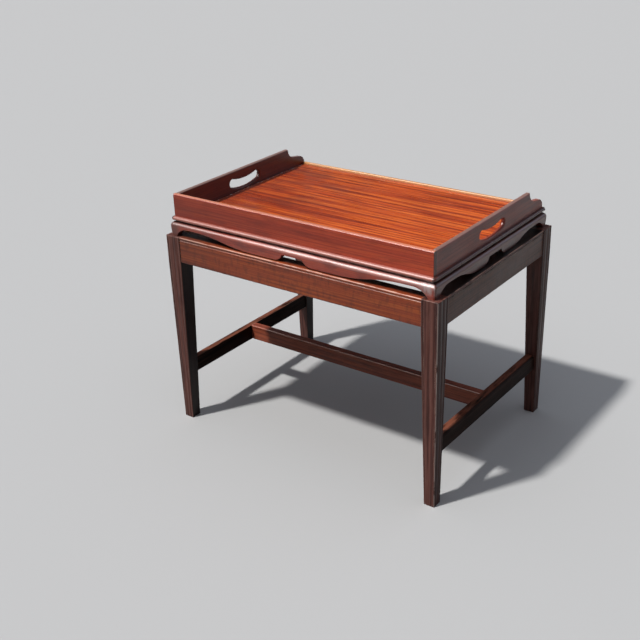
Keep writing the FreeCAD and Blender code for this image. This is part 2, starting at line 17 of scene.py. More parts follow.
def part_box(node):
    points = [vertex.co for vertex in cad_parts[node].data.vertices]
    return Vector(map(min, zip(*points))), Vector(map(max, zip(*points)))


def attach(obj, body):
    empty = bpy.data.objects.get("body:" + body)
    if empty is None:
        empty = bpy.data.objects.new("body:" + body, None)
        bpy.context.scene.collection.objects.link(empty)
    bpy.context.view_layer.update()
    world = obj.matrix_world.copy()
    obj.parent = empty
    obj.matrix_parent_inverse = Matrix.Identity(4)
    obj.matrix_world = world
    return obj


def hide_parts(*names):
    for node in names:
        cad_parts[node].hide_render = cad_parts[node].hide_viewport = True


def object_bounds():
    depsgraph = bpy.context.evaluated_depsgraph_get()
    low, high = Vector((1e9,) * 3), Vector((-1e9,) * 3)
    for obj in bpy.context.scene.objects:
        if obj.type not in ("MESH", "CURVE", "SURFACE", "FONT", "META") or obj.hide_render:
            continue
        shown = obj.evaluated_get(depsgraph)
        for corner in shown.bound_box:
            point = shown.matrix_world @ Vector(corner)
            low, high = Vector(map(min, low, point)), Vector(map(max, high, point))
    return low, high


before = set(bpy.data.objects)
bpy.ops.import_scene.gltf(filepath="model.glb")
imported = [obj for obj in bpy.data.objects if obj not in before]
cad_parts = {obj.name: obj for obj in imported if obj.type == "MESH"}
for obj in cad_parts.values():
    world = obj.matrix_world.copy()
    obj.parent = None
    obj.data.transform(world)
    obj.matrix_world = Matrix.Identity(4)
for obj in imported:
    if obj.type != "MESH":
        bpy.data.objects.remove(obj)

MM = 0.001
scene = bpy.context.scene
scene.view_settings.view_transform = "Standard"
cad_box = [list(corner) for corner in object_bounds()]
size_mm = [round((high - low) / MM) for low, high in zip(*cad_box)]
print("nodes:", len(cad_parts), "size in mm:", size_mm)

# %% [markdown]
# ## Camera
# The picture looks down on the front and the right end from standing height. A camera can be placed by
# eye, but here its place, its three angles and its focal length were solved from the table's own straight
# edges, so that the model lies over the picture to within a pixel or two.

# %% Camera
IMAGE_SIDE = 640
FOCAL_PIXELS = 1054.67
CAMERA_PLACE = Vector((1.224546, -1.778708, 1.258837))
YAW, PITCH, ROLL = (math.radians(angle) for angle in (-36.913, 25.233, -1.954))


def camera_axes(yaw, pitch, roll):
    """The camera's right, up and back directions."""
    forward = Vector((math.sin(yaw) * math.cos(pitch), math.cos(yaw) * math.cos(pitch), -math.sin(pitch)))
    level = Vector((math.cos(yaw), -math.sin(yaw), 0))
    upright = level.cross(forward)
    right = level * math.cos(roll) + upright * math.sin(roll)
    up = upright * math.cos(roll) - level * math.sin(roll)
    return right, up, -forward


camera = bpy.data.objects.new("camera", bpy.data.cameras.new("camera"))
camera.data.lens = camera.data.sensor_width * FOCAL_PIXELS / IMAGE_SIDE
turn = Matrix(camera_axes(YAW, PITCH, ROLL)).transposed()
camera.matrix_world = Matrix.Translation(CAMERA_PLACE) @ turn.to_4x4()
scene.collection.objects.link(camera)
scene.camera = camera
print("lens:", round(camera.data.lens, 2), "mm")

# %% [markdown]
# ## Colours and nodes
# A finish is written as the hex colour that the eye sees, and Blender's shaders count in linear light, so
# one function turns the first into the second. Another adds a node of any kind: it sets the node's
# settings, sets each input or links it when it is given another node's output, and hands back one of the
# node's own outputs.

# %% Two small helpers
# a Mix node has inputs for numbers, vectors and colours: these are its two colours and its mixed colour
MIX_FIRST = 6
MIX_SECOND = 7
MIX_RESULT = 2


def linear(hex_colour):
    """A colour such as B4491F as linear red, green, blue and alpha, by the sRGB rule."""
    parts = [int(hex_colour[place:place + 2], 16) / 255 for place in (0, 2, 4)]
    return [part / 12.92 if part <= 0.04045 else ((part + 0.055) / 1.055) ** 2.4 for part in parts] + [1.0]


def add(tree, kind, inputs=(), out=0, **settings):
    """Add a node with its settings and inputs, and return one of its outputs."""
    node = tree.nodes.new(kind)
    for name, value in settings.items():
        setattr(node, name, value)
    for name, value in dict(inputs).items():
        if isinstance(value, bpy.types.NodeSocket):
            tree.links.new(value, node.inputs[name])
        else:
            node.inputs[name].default_value = value
    return node.outputs[out] if len(node.outputs) else None


print("linear orange:", [round(part, 3) for part in linear("B4491F")])

# %% [markdown]
# ## Floor
# The floor is a plain pale sheet that takes the shadow. A pale floor also throws light up, and that would
# wash out the dark wood from below. So the paint asks what kind of ray has met it: a look from the
# camera, straight or by way of a reflection, meets the pale tone, and a ray that gathers light for a matt
# surface meets a darker one.

# %% Floor
# metres, so that its edge lies far behind the table
FLOOR_SIDE = 60

half = FLOOR_SIDE / 2
floor_corners = [(-half, -half, 0), (half, -half, 0), (half, half, 0), (-half, half, 0)]
floor_mesh = bpy.data.meshes.new("studio_floor")
floor_mesh.from_pydata(floor_corners, [], [(0, 1, 2, 3)])
studio_floor = bpy.data.objects.new("studio_floor", floor_mesh)
scene.collection.objects.link(studio_floor)
print("floor side:", FLOOR_SIDE, "m")

# %% Paint on the floor
PALE_PAINT = "BDBCBA"
DARK_BOUNCE = "3A3A3A"


def seen_by_eye(tree):
    """1 for a look from the camera, straight or in a reflection, and 0 for light on a matt surface."""
    path = add(tree, "ShaderNodeLightPath").node.outputs
    mirrored = add(tree, "ShaderNodeMath", {0: path["Is Glossy Ray"], 1: path["Is Transmission Ray"]},
                   operation="MAXIMUM")
    return add(tree, "ShaderNodeMath", {0: path["Is Camera Ray"], 1: mirrored}, operation="MAXIMUM")


# rolled paint: chalky, with almost no shine
floor_paint = bpy.data.materials.new("matt paint, rolled")
floor_paint.use_nodes = True
paint = floor_paint.node_tree
tone = add(paint, "ShaderNodeMix", {0: seen_by_eye(paint), MIX_FIRST: linear(DARK_BOUNCE),
                                    MIX_SECOND: linear(PALE_PAINT)}, out=MIX_RESULT, data_type="RGBA")
paint_shader = paint.nodes["Principled BSDF"]
paint.links.new(tone, paint_shader.inputs["Base Color"])
paint_shader.inputs["Roughness"].default_value = 0.95
paint_shader.inputs["Specular IOR Level"].default_value = 0.1
floor_mesh.materials.append(floor_paint)
print("paint:", floor_paint.name)

# %% [markdown]
# ## Lamps
# High light from the front left leaves the right end of the table in shade. A lamp far away gives that
# light and a shadow with a soft edge. Two broad lamps are there for the lacquer alone, and matt colour
# doesn't see them: one draws the long bright line along the mouldings, and a cool one behind draws the
# thin lines along the right end. Each lamp has a strength, a spread in degrees that makes its shadow and
# its gloss softer, a colour, the direction that its light comes from, and whether matt surfaces see it.

# %% Lamps
# strength, spread, colour, where the light comes from, and whether matt surfaces see it
LAMPS = {"key": (2.95, 3.5, "FFFFFF", (-0.2425, -0.4375, 0.866), True),
         "gloss": (12.0, 50, "FFF6F2", (-0.26, -0.62, 0.74), False),
         "rim": (0.25, 26, "DCE6FF", (0.45, 0.78, 0.36), False)}

for name, (strength, spread, colour, source, lights_matt) in LAMPS.items():
    lamp = bpy.data.objects.new(f"{name}_lamp", bpy.data.lights.new(f"{name}_lamp", "SUN"))
    lamp.data.energy = strength
    lamp.data.angle = math.radians(spread)
    lamp.data.color = linear(colour)[:3]
    lamp.rotation_euler = Vector(source).to_track_quat("Z", "Y").to_euler()
    lamp.visible_diffuse = lights_matt
    scene.collection.objects.link(lamp)
print("lamps:", ", ".join(LAMPS))

# %% [markdown]
# ## Sky
# The sky fills the shadows. It is bright overhead and dim lower down, so that the undersides stay dark. A
# dim horizon would look black behind the table from a low view, so the eye gets a pale band there that is
# about as light as the floor, and matt surfaces get none of it.

# %% Sky
# how far up the sky a tone lies, from 0 at the horizon to 1 overhead
SKY_TONES = ((0.4, "26282C"), (0.95, "C8CEDA"))
BAND_ENDS = 0.2
BAND_FULL = 0.08
BAND_PALE = "C6C7C8"

world = bpy.data.worlds.new("plain sky")
world.use_nodes = True
scene.world = world
sky = world.node_tree
direction = add(sky, "ShaderNodeTexCoord", out="Generated")
height = add(sky, "ShaderNodeSeparateXYZ", {"Vector": direction}, out="Z")
shade = add(sky, "ShaderNodeValToRGB", {"Fac": height})
for step, (place, colour) in enumerate(SKY_TONES):
    shade.node.color_ramp.elements[step].position = place
    shade.node.color_ramp.elements[step].color = linear(colour)
near_ground = add(sky, "ShaderNodeMapRange", {"Value": height, "From Min": BAND_ENDS, "From Max": BAND_FULL})
backdrop = add(sky, "ShaderNodeMath", {0: seen_by_eye(sky), 1: near_ground}, operation="MULTIPLY")
view = add(sky, "ShaderNodeMix", {0: backdrop, MIX_FIRST: shade, MIX_SECOND: linear(BAND_PALE)},
           out=MIX_RESULT, data_type="RGBA")
sky.links.new(view, sky.nodes["Background"].inputs["Color"])
print("tones of the sky:", len(SKY_TONES))

# %% [markdown]
# ## Edges that a hand has eased
# The solids from the CAD model have the right shapes, but many edges are as sharp as a knife. On the real
# table each was taken off with sandpaper and then worn by use, and a thin bright line along the edges is
# much of what makes wood look like wood. So each piece is a copy of its solid, with its triangles merged
# and flat areas made one face, and a small bevel on its outward edges. An edge that touches another piece
# is a joint and stays crisp.

# %% Merge a solid and mark its outward edges
SHARP_ANGLE = math.radians(32)
FLAT_ANGLE = math.radians(0.4)
WELD = 0.002 * MM
TOUCH = 0.3 * MM

surfaces = {}
for node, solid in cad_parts.items():
    surfaces[node] = BVHTree.FromPolygons([point.co for point in solid.data.vertices],
                                          [face.vertices for face in solid.data.polygons])


def merged_solid(node):
    """A bmesh of the solid of a CAD node, merged and with flat areas dissolved."""
    shape = bmesh.new()
    shape.from_mesh(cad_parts[node].data)
    bmesh.ops.remove_doubles(shape, verts=shape.verts, dist=WELD)
    bmesh.ops.dissolve_limit(shape, angle_limit=FLAT_ANGLE, verts=shape.verts, edges=shape.edges)
    return shape


def mark_outward_edges(shape, node):
    """Give a bevel weight to each sharp outward edge that touches no other node, and keep the rest crisp."""
    weight = shape.edges.layers.float.new("bevel_weight_edge")
    others = [surface for name, surface in surfaces.items() if name != node]
    for edge in shape.edges:
        if edge.is_manifold and edge.calc_face_angle() > SHARP_ANGLE:
            middle = (edge.verts[0].co + edge.verts[1].co) / 2
            joint = any(other.find_nearest(middle, TOUCH)[0] for other in others)
            edge.smooth = edge.is_convex and not joint
            edge[weight] = 1 if edge.smooth else 0


print("solids to ease:", len(surfaces))

# %% [markdown]
# ## From marked edges to rounded ones
# Blender can round edges with a modifier that is left on the piece, or once and for all in the mesh. Here
# the mesh is changed, because the round may not stand out of the solid: where a bevel meets a curved
# face, a point of it can, and such a point is moved back onto the solid. Normals then lean to the larger
# face beside them, so that flat faces look flat right up to their edge.

# %% Round the marked edges
EASE = 0.7 * MM
EASE_STEPS = 3


def changed_mesh(mesh, modifier, **settings):
    """A copy of a mesh with one modifier applied. The mesh itself is used up."""
    block = bpy.data.objects.new(mesh.name, mesh)
    scene.collection.objects.link(block)
    change = block.modifiers.new(modifier, modifier)
    for setting, value in settings.items():
        setattr(change, setting, value)
    changed = bpy.data.meshes.new_from_object(block.evaluated_get(bpy.context.evaluated_depsgraph_get()))
    bpy.data.objects.remove(block)
    bpy.data.meshes.remove(mesh)
    return changed


def eased_mesh(name, node, shape):
    """A mesh of the shape with its marked edges rounded, nowhere outside the solid. The shape is used up."""
    sharp = bpy.data.meshes.new("sharp")
    shape.to_mesh(sharp)
    shape.free()
    sharp.shade_smooth()
    round_mesh = changed_mesh(sharp, "BEVEL", limit_method="WEIGHT", width=EASE, segments=EASE_STEPS,
                              use_clamp_overlap=False)
    for point in round_mesh.vertices:
        nearest, normal = surfaces[node].find_nearest(point.co)[:2]
        if (point.co - nearest).dot(normal) > 0:
            point.co = nearest
    mesh = changed_mesh(round_mesh, "WEIGHTED_NORMAL", keep_sharp=True)
    mesh.name = name
    return mesh


print("edges eased by mm:", round(EASE / MM, 2))

# %% [markdown]
# ## The rounded corners of the aprons
# At each corner of the tray two aprons meet in a mitre and run down into a bracket foot, and there the
# hand feels one rounded corner, not an edge. A bevel on each apron would leave a groove along the mitre.
# So each apron is cut into thin slices beside its mitre, and the slices of its outer face are wrapped
# round an arc, up to the middle of the corner. The next apron does the other half.

# %% Wrap an apron's ends round the corner
CORNER_ROUND = 6 * MM
CORNER_SLICES = 6
CUT_SNAP = 0.001 * MM
# how much of a face's normal has to point outward for it to be part of the outer face
LOOKS_OUT = 0.02
apron_half = [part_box("apron_right")[1][0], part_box("apron_back")[1][1]]


def slice_ends(shape, out_axis, out):
    """Cut an apron into slices that run along its two mitres."""
    run_axis = 1 - out_axis
    for end in (-1, 1):
        for count in range(1, CORNER_SLICES + 1):
            point = Vector()
            point[run_axis] = end * (apron_half[run_axis] - CORNER_ROUND * count / CORNER_SLICES)
            point[out_axis] = out * apron_half[out_axis]
            normal = Vector()
            normal[run_axis] = -end
            normal[out_axis] = out
            everything = shape.verts[:] + shape.edges[:] + shape.faces[:]
            bmesh.ops.bisect_plane(shape, geom=everything, dist=CUT_SNAP, plane_co=point, plane_no=normal)


def round_corners(shape, out_axis, out):
    """Wrap the outer face of an apron round both corners. It faces out, 1 or -1, along out_axis, 0 or 1."""
    slice_ends(shape, out_axis, out)
    run_axis = 1 - out_axis
    half_out = apron_half[out_axis]
    half_run = apron_half[run_axis]
    outer_faces = [face for face in shape.faces if face.normal[out_axis] * out > LOOKS_OUT]
    outer = {point for face in outer_faces for point in face.verts}
    for point in outer:
        inset = half_out - out * point.co[out_axis]
        end = 1 if point.co[run_axis] > 0 else -1
        from_mitre = half_run - end * point.co[run_axis] - inset
        if from_mitre < CORNER_ROUND:
            angle = math.pi / 4 * (1 - from_mitre / CORNER_ROUND)
            point.co[run_axis] = end * (half_run - inset - CORNER_ROUND * (1 - math.sin(angle)))
            point.co[out_axis] = out * (half_out - inset - CORNER_ROUND * (1 - math.cos(angle)))


print("apron half sizes in mm:", [round(size / MM, 1) for size in apron_half])

# %% [markdown]
# ## Masks in millimetres
# A finish on old wood is many thin layers: stain, dirt, wear. A picture of real wood could be wrapped
# round each board, but it would run out at the ends and repeat. Here each layer is one colour inside a
# mask. Marks are a noise that is stretched along the grain, with their real length and width, and a fade
# is a soft step at a place on the table. Boards measured from one spot would all show the same noise, so
# each finish measures from the place of its board in the tree.

# %% A finish that knows its board's place in the tree
PLACE_IN_TREE = "place_in_tree"


def new_finish(name):
    """An empty finish. Its node called place says where in its tree each point of a board was."""
    finish = bpy.data.materials.new(name)
    finish.use_nodes = True
    tree = finish.node_tree
    own = add(tree, "ShaderNodeTexCoord", out="Object")
    in_tree = add(tree, "ShaderNodeAttribute", out="Vector", attribute_name=PLACE_IN_TREE)
    add(tree, "ShaderNodeVectorMath", {0: own, 1: in_tree}, operation="ADD", name="place")
    return finish


print("attribute of every board:", PLACE_IN_TREE)

# %% Two masks
NOISE = {"Scale": 1, "Detail": 3, "Roughness": 0.6}


def marks(finish, grain, long_mm, wide_mm, low, high, top=1.0):
    """Marks that run along the grain: 0 where their noise is below low, and top where it is above high."""
    tree = finish.node_tree
    scale = [1 / (wide_mm * MM)] * 3
    scale["XYZ".index(grain)] = 1 / (long_mm * MM)
    place = tree.nodes["place"].outputs[0]
    across = add(tree, "ShaderNodeMapping", {"Vector": place, "Scale": scale})
    level = add(tree, "ShaderNodeTexNoise", {"Vector": across, **NOISE})
    step = {"Value": level, "From Min": low, "From Max": high, "To Max": top}
    return add(tree, "ShaderNodeMapRange", step, interpolation_type="SMOOTHSTEP")


def fade(finish, axis, start_mm, end_mm, top=1.0):
    """A soft step along X, Y or Z of the table: 0 up to the start, and top from the end on."""
    tree = finish.node_tree
    own = add(tree, "ShaderNodeTexCoord", out="Object")
    along = add(tree, "ShaderNodeSeparateXYZ", {"Vector": own}, out=axis)
    step = {"Value": along, "From Min": start_mm * MM, "From Max": end_mm * MM, "To Max": top}
    return add(tree, "ShaderNodeMapRange", step, interpolation_type="SMOOTHSTEP")


print("noise of every mark:", NOISE)

# %% Lay a colour over a finish


def lay_over(finish, hex_colour, mask, *insides):
    """Lay one more colour over a finish as far as the mask says, inside the other masks if there are any."""
    tree = finish.node_tree
    for inside in insides:
        mask = add(tree, "ShaderNodeMath", {0: mask, 1: inside}, operation="MULTIPLY")
    colour = tree.nodes["Principled BSDF"].inputs["Base Color"]
    under = colour.links[0].from_socket
    over = add(tree, "ShaderNodeMix", {0: mask, MIX_FIRST: under, MIX_SECOND: linear(hex_colour)},
               out=MIX_RESULT, data_type="RGBA")
    tree.links.new(over, colour)


print("helpers of a finish: new_finish, marks, fade, lay_over")

# %% [markdown]
# ## Mahogany
# Mahogany is a red-brown hardwood. Its fibres lean one way and then the other as the tree grows, and sawn
# on the quarter that gives a ribbon of long light and dark stripes, with fine dark dashes where its open
# pores are cut. Stain leaves darker streaks and patches. A colour ramp turns one long noise into the
# ribbon, and the rest is laid over it, mark by mark. The pores are drawn three times too wide, or they
# wouldn't show.

# %% The figure of the wood
PORE_DARK = "2A120C"
RIBBON_LONG = 300
MIDDLE_TONE_PLACE = 0.45


def figure_wood(finish, grain, dark, middle, light, ribbon_mm):
    """Give a finish the ribbon of the wood, in three tones, and fine light flecks along it."""
    tree = finish.node_tree
    ribbon = marks(finish, grain, RIBBON_LONG, ribbon_mm, low=0.34, high=0.66)
    figure = add(tree, "ShaderNodeValToRGB", {"Fac": ribbon})
    tones = figure.node.color_ramp.elements
    tones[0].color = linear(dark)
    tones[1].color = linear(light)
    tones.new(MIDDLE_TONE_PLACE).color = linear(middle)
    tree.links.new(figure, tree.nodes["Principled BSDF"].inputs["Base Color"])
    lay_over(finish, light, marks(finish, grain, long_mm=45, wide_mm=3, low=0.5, high=0.75, top=0.4))


def stain_wood(finish, grain, stained, streaks, patch_mm, stain):
    """Stain a finish in streaks and patches, darken its pores, and return the mask of the pores."""
    pores = marks(finish, grain, long_mm=14, wide_mm=0.7, low=0.56, high=0.7, top=0.35)
    lines = marks(finish, grain, long_mm=140, wide_mm=2.2, low=0.52, high=0.72, top=streaks)
    lay_over(finish, stained, lines)
    patches = marks(finish, grain, *patch_mm, low=0.46, high=0.68, top=stain)
    lay_over(finish, stained, patches)
    lay_over(finish, PORE_DARK, pores)
    return pores


print("ribbons are mm long:", RIBBON_LONG)

# %% [markdown]
# ## Wear, highlights, dirt and shade
# Years of use wore the stain off the edges, and the pale colour laid along them is also a painted
# highlight on the rounded edges. The corners are darker, partly with wax and dirt and partly with painted
# shade where faces close in. Both could be painted on by hand, edge by edge. The renderer can also find
# them: the Bevel node gives a normal as if the edges were rounder, so where that leaves the real normal
# there is an edge, and ambient occlusion falls where faces close in on each other.

# %% Worn edges with a painted highlight, and corners with dirt and painted shade
CORNER_DIRT_AND_SHADE = "190B07"
EDGE_REACH = 2 * MM
DIRT_AND_SHADE_REACH = 7 * MM
SAMPLES = 6
# the cosine between the two normals where wear and painted highlight start and are full,
# and the open share where dirt and painted shade do
EDGE_BEND = (0.99, 0.85)
OPEN_SHARE = (0.62, 0.25)
MOST_DIRT_AND_SHADE = 0.75


def wear_and_highlight_edges(finish, grain, worn_and_highlit, wear):
    """Wear the edges of a finish pale, in stretches along the grain: worn wood and a painted highlight."""
    tree = finish.node_tree
    rounded = add(tree, "ShaderNodeBevel", {"Radius": EDGE_REACH}, samples=SAMPLES)
    flat = add(tree, "ShaderNodeNewGeometry", out="Normal")
    bend = add(tree, "ShaderNodeVectorMath", {0: rounded, 1: flat}, out="Value", operation="DOT_PRODUCT")
    edge = add(tree, "ShaderNodeMapRange", {"Value": bend, "From Min": EDGE_BEND[0],
                                            "From Max": EDGE_BEND[1], "To Max": wear})
    # pale edges: worn wood, and a painted highlight along the rounded edges
    lay_over(finish, worn_and_highlit, edge, marks(finish, grain, long_mm=45, wide_mm=16, low=0.4, high=0.6))


def darken_corners_dirt_and_shade(finish):
    """Darken the corners of a finish: dirt, and painted shade where faces close in."""
    tree = finish.node_tree
    corner = add(tree, "ShaderNodeAmbientOcclusion", {"Distance": DIRT_AND_SHADE_REACH}, out="AO", samples=SAMPLES)
    dirt_and_shade = add(tree, "ShaderNodeMapRange", {"Value": corner, "From Min": OPEN_SHARE[0],
                                            "From Max": OPEN_SHARE[1], "To Max": MOST_DIRT_AND_SHADE})
    # dark corners: dirt, and painted shade where faces close in
    lay_over(finish, CORNER_DIRT_AND_SHADE, dirt_and_shade)


print("wear and dirt reach in mm:", round(EDGE_REACH / MM), round(DIRT_AND_SHADE_REACH / MM))

# %% [markdown]
# ## Lacquer
# The wood was lacquered, which gives it a satin gloss over a thin clear coat. The lacquer is duller in
# some patches than in others, and it sinks a little into the pores. A bump does for that: the pores are
# far too shallow to be worth a shape of their own.

# %% Lacquer
LACQUER_IOR = 1.5
COAT_ROUGHNESS = 0.2
DULLER = 0.1
# the mask of the pores goes up to about a third, so this makes them one depth deep
PORE_SINK = -3
PORE_DEPTH = 0.12 * MM


def lacquer(finish, grain, pores, gloss, specular, coat):
    """Lacquer a finish: its roughness starts at gloss, and specular and coat say how much it shines."""
    tree = finish.node_tree
    shader = tree.nodes["Principled BSDF"]
    haze = marks(finish, grain, long_mm=90, wide_mm=35, low=0.3, high=0.7)
    roughness = add(tree, "ShaderNodeMapRange", {"Value": haze, "To Min": gloss, "To Max": gloss + DULLER})
    tree.links.new(roughness, shader.inputs["Roughness"])
    depth = add(tree, "ShaderNodeMath", {0: pores, 1: PORE_SINK}, operation="MULTIPLY")
    bump = add(tree, "ShaderNodeBump", {"Height": depth, "Strength": 0.3, "Distance": PORE_DEPTH})
    tree.links.new(bump, shader.inputs["Normal"])
    shader.inputs["IOR"].default_value = LACQUER_IOR
    shader.inputs["Specular IOR Level"].default_value = specular
    shader.inputs["Coat Weight"].default_value = coat
    shader.inputs["Coat Roughness"].default_value = COAT_ROUGHNESS


print("pores are mm deep:", round(PORE_DEPTH / MM, 2))

# %% One recipe for every board


def wood_finish(name, grain, dark, middle, light, stained, worn_and_highlit, ribbon_mm, streaks, patch_mm, stain, wear,
                gloss, specular, coat):
    """A finish on wood with grain along X, Y or Z. streaks, stain and wear say how much of each shows; the
    wear on the edges is also a painted highlight.
    """
    finish = new_finish(f"{name}, grain {grain}")
    figure_wood(finish, grain, dark, middle, light, ribbon_mm)
    pores = stain_wood(finish, grain, stained, streaks, patch_mm, stain)
    wear_and_highlight_edges(finish, grain, worn_and_highlit, wear)
    darken_corners_dirt_and_shade(finish)
    lacquer(finish, grain, pores, gloss, specular, coat)
    return finish


print("colours under every finish:", PORE_DARK, CORNER_DIRT_AND_SHADE)

# %% [markdown]
# ## The stand's stains
# The legs were stained nearly black-brown, and their reeds still hold that stain while the arrises have
# gone pale. The end stretchers are blacker, from more stain and from painted shade, and the middle one has
# faded redder. The rails are browner: their finish was rubbed in short blotches across the grain, and the
# rails at the ends are darker, a painted shade. All five come from the one recipe, and a finish that is
# like another is written as what differs.

# %% Finishes of the legs and stretchers
# dark stain under thin lacquer: hardly any shine, so the reeds show as dark and pale lines
leg_looks = dict(dark="4A2924", middle="683D34", light="7A4E44", stained="2E1410", worn_and_highlit="C4A494",
                 ribbon_mm=6, streaks=0.35, patch_mm=(90, 22), stain=0.4, wear=0.8, gloss=0.34,
                 specular=0.2, coat=0.05)
# the same, darker: almost black from more stain and from painted shade, and duller still
end_bar_looks = dict(leg_looks, dark="1C100D", middle="28170F", light="321E18", stained="140A07", wear=0.5,
                     specular=0.04, coat=0)
# the same, faded by light: red shows through
middle_bar_looks = dict(leg_looks, dark="803E2E", middle="A05038", light="B45E40", stained="5A2C22")
leg_wood = {"Z": wood_finish("mahogany, stained dark and lacquered", "Z", **leg_looks),
            "Y": wood_finish("mahogany, stained nearly black", "Y", **end_bar_looks),
            "X": wood_finish("mahogany, stained dark and faded", "X", **middle_bar_looks)}
print("finishes of the legs and stretchers:", len(leg_wood))

# %% Finishes of the rails
# brown stain, wiped off in strokes: a satin sheen over an uneven orange brown
rail_looks = dict(dark="7E3820", middle="984022", light="AE5428", stained="4A241A", worn_and_highlit="D8B09A",
                  ribbon_mm=3, streaks=0.2, patch_mm=(10, 22), stain=0.38, wear=0.9, gloss=0.34,
                  specular=0.3, coat=0.1)
# the same, darker: dark brown and duller, a painted shade
shaded_end_rail_looks = dict(rail_looks, dark="46261A", middle="5A3020", light="683A28", stained="2E1610",
                      specular=0.2, coat=0.05)
rail_wood = {"X": wood_finish("mahogany, stained brown and lacquered", "X", **rail_looks),
             "Y": wood_finish("mahogany, stained dark brown and lacquered", "Y", **shaded_end_rail_looks)}
print("finishes of the rails:", len(rail_wood))

# %% [markdown]
# ## The tray's reds
# The upright boards and aprons were stained red, and the aprons' moulded shoulders catch the most light
# of anything on the table. The boards and aprons at the ends are darker copies of them, a painted shade.
# The floor is nearly unstained, an orange with dark streaks. The strip along the open back is painted pale
# orange, a painted sunlit strip. These too come from the one recipe.

# %% Finishes of the upright boards and aprons
# red stain under lacquer: an even red with fine lines and a soft shine
board_looks = dict(dark="AC3C24", middle="C2482A", light="CE542E", stained="742416", worn_and_highlit="DBA68A",
                   ribbon_mm=3, streaks=0.45, patch_mm=(90, 16), stain=0.4, wear=0.5, gloss=0.28,
                   specular=0.35, coat=0.1)
# the same, darker: a deeper red, a painted shade
shaded_end_board_looks = dict(board_looks, dark="803020", middle="963A26", light="A2462E", stained="4A170F")
# moulded, stained and lacquered thickly: a broad soft light runs along the shoulder
apron_looks = dict(dark="8E3020", middle="A83C22", light="B4482C", stained="5A1C16", worn_and_highlit="DBAC9A",
                   ribbon_mm=5, streaks=0.4, patch_mm=(60, 20), stain=0.5, wear=0.4, gloss=0.3,
                   specular=0.5, coat=0.3)
# the same, darker: a dull red brown, a painted shade
shaded_end_apron_looks = dict(apron_looks, dark="5E2C24", middle="6E362C", light="784034", stained="3A1812")
board_wood = {"X": wood_finish("mahogany, stained red and lacquered", "X", **board_looks),
              "Y": wood_finish("mahogany, stained dark red and lacquered", "Y", **shaded_end_board_looks)}
apron_wood = {"X": wood_finish("mahogany, moulded, stained red and lacquered", "X", **apron_looks),
              "Y": wood_finish("mahogany, moulded, stained dark and lacquered", "Y", **shaded_end_apron_looks)}
print("finishes of the upright boards and aprons:", len(board_wood) + len(apron_wood))

# %% Finishes of the floor and the back strip
# quarter sawn, lacquered without stain: ribbons of orange and red brown
floor_looks = dict(dark="8A2C12", middle="C84C18", light="E6702A", stained="6A200E", worn_and_highlit="D08A50",
                   ribbon_mm=7, streaks=0.55, patch_mm=(160, 45), stain=0.2, wear=0.3, gloss=0.26,
                   specular=0.35, coat=0.12)
# pale orange, a painted sunlit strip
sunlit_lip_looks = dict(dark="C07838", middle="DC9C5C", light="E8B074", stained="A05A28", worn_and_highlit="F0C898",
                 ribbon_mm=5, streaks=0.3, patch_mm=(60, 20), stain=0.2, wear=0.6, gloss=0.34,
                 specular=0.4, coat=0.1)
floor_wood = {"X": wood_finish("mahogany, quarter sawn and lacquered", "X", **floor_looks)}
sunlit_lip_wood = {"X": wood_finish("mahogany, rubbed nearly bare", "X", **sunlit_lip_looks)}
print("finishes of the floor and the back strip:", len(floor_wood) + len(sunlit_lip_wood))

# %% [markdown]
# ## Marks of use on the legs
# Boards from one tree age apart. The faces of the legs that look along the table are painted darker, as
# painted shade, and the inner ones nearly black. The outer corner of each leg is what feet and brooms knock
# against, and it has gone pale in stretches. Each mark is one more colour over the finish, inside a mask.
# All legs share a finish, so the masks ask which way a face looks and on which side of the table it is.

# %% Painted shade on the faces of the legs
PAINTED_LEG_SHADE = "120807"
# a face's place along X times the way it looks along X:
# where the painted shade starts, is full, and how much shows
INNER_FACE = (-0.1, -0.25, 0.92)
OUTER_FACE = (0.1, 0.25, 0.42)

legs = leg_wood["Z"]
tree = legs.node_tree
own = add(tree, "ShaderNodeTexCoord", out="Object")
sideways = add(tree, "ShaderNodeVectorMath", {0: own, 1: (1, 0, 0)}, operation="MULTIPLY")
facing = add(tree, "ShaderNodeNewGeometry", out="Normal")
outward = add(tree, "ShaderNodeVectorMath", {0: sideways, 1: facing}, out="Value", operation="DOT_PRODUCT")
for start, full, most in (INNER_FACE, OUTER_FACE):
    face = add(tree, "ShaderNodeMapRange", {"Value": outward, "From Min": start, "From Max": full,
                                            "To Max": most})
    # painted shade: faces looking along the table darker, the inner ones nearly black
    lay_over(legs, PAINTED_LEG_SHADE, face)
print("leg faces darkened by:", INNER_FACE[2], OUTER_FACE[2])

# %% Pale corners of the legs
PALE_WOOD = "D4BEB4"
DIAGONAL = math.sqrt(0.5)
# the cosine between a face and the way to the corner where the pale starts and is full, and how much shows
ARRIS_LEAN = (0.91, 0.98)
ARRIS_MOST = 0.9
# how far in from the outermost corner the pale starts and is full
ARRIS_DEPTH = (12 * MM, 9 * MM)
corner_reach = (cad_box[1][0] + cad_box[1][1]) * DIAGONAL

